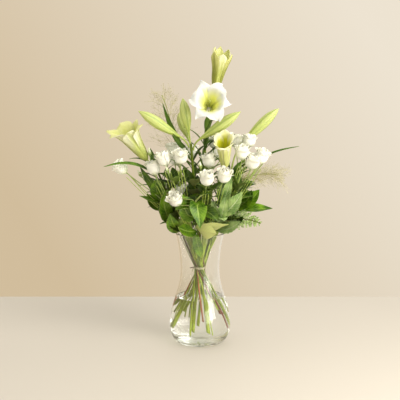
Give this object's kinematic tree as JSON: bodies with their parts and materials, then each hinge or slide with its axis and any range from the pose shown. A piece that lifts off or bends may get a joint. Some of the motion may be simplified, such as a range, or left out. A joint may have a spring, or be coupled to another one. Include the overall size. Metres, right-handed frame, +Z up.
{
  "type": "lilies in a vase",
  "caption": "White lilies and lisianthus with greenery, hand-tied with twine and standing in a waisted clear glass vase of water.",
  "frame": {"origin": "centre of the vase's foot, on the surface that it stands on", "axes": "+Z up along the vase's axis, -Y the front of the bouquet, +X to its right seen from the front"},
  "size_m": [0.4767, 0.2616, 0.7307],
  "materials": {
    "clear_glass": "gloss",
    "water": "gloss",
    "twine": "matte",
    "green_stem": "satin",
    "woody_stem": "matte",
    "grass": "matte",
    "fern": "satin",
    "lily_bud": "satin",
    "half_open_lily": "satin",
    "lily_petal": "satin",
    "lily_pistil": "satin",
    "lisianthus_bloom": "matte",
    "broad_leaf": "satin",
    "sage_leaf": "matte",
    "lily_leaf": "satin"
  },
  "bodies": {
    "root": {"vase": "clear_glass", "water": "water", "twine_tie": "twine", "lily_stem_1": "green_stem", "lily_stem_2": "green_stem", "lily_stem_3": "green_stem", "lily_stem_4": "green_stem", "lisianthus_stem_1": "green_stem", "lisianthus_stem_2": "green_stem", "lisianthus_stem_3": "green_stem", "lisianthus_stem_4": "green_stem", "lisianthus_stem_5": "green_stem", "sage_stem": "green_stem", "salal_stem_1": "woody_stem", "salal_stem_2": "woody_stem", "salal_stem_3": "woody_stem", "salal_stem_4": "woody_stem", "grass_stem_1": "grass", "grass_stem_2": "grass", "fern_stem": "fern", "lily_bud_1": "lily_bud", "lily_bud_2": "lily_bud", "lily_bud_3": "lily_bud", "lily_bud_4": "lily_bud", "lily_bud_5": "lily_bud", "lily_trumpet_1": "half_open_lily", "lily_trumpet_2": "half_open_lily", "lily_trumpet_3": "half_open_lily", "lily_petal_1": "lily_petal", "lily_petal_2": "lily_petal", "lily_petal_3": "lily_petal", "lily_petal_4": "lily_petal", "lily_petal_5": "lily_petal", "lily_petal_6": "lily_petal", "lily_pistil": "lily_pistil", "lisianthus_bloom_1": "lisianthus_bloom", "lisianthus_bloom_2": "lisianthus_bloom", "lisianthus_bloom_3": "lisianthus_bloom", "lisianthus_bloom_4": "lisianthus_bloom", "lisianthus_bloom_5": "lisianthus_bloom", "lisianthus_bloom_6": "lisianthus_bloom", "lisianthus_bloom_7": "lisianthus_bloom", "lisianthus_bloom_8": "lisianthus_bloom", "lisianthus_bloom_9": "lisianthus_bloom", "lisianthus_bloom_10": "lisianthus_bloom", "lisianthus_bloom_11": "lisianthus_bloom", "lisianthus_bloom_12": "lisianthus_bloom", "lisianthus_bloom_13": "lisianthus_bloom", "salal_leaf_1": "broad_leaf", "salal_leaf_2": "broad_leaf", "salal_leaf_3": "broad_leaf", "salal_leaf_4": "broad_leaf", "salal_leaf_5": "broad_leaf", "salal_leaf_6": "broad_leaf", "salal_leaf_7": "broad_leaf", "salal_leaf_8": "broad_leaf", "sage_leaf": "sage_leaf", "lily_leaf_1": "lily_leaf", "lily_leaf_2": "lily_leaf", "lily_leaf_3": "lily_leaf"}
  },
  "joints": []
}
